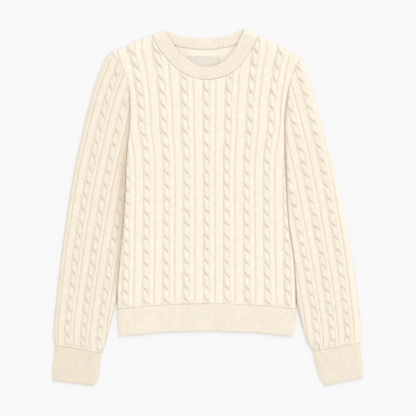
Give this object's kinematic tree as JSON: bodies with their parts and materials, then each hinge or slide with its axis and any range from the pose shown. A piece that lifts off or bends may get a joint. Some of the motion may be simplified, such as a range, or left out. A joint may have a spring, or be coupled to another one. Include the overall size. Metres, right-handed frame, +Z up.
{
  "type": "cable knit sweater",
  "caption": "Crew-neck sweater in cream rope-cable knit with ribbed neckband, cuffs and hem, laid flat on its back.",
  "frame": {"origin": "centre of the garment's bounding box on the surface that it lies on", "axes": "+Y towards the neck, +X to the right of a picture of its front, +Z up off the surface"},
  "size_m": [0.593, 0.6788, 0.0115],
  "materials": {
    "cable_knit": "matt",
    "rib_knit": "matt",
    "label_cloth": "satin"
  },
  "bodies": {
    "root": {"front_panel": "cable_knit", "back_panel": "cable_knit", "sleeve_left": "cable_knit", "sleeve_right": "cable_knit", "cuff_left": "rib_knit", "cuff_right": "rib_knit", "front_hem_rib": "rib_knit", "back_hem_rib": "rib_knit", "neckband": "rib_knit", "neck_label": "label_cloth"}
  },
  "joints": []
}
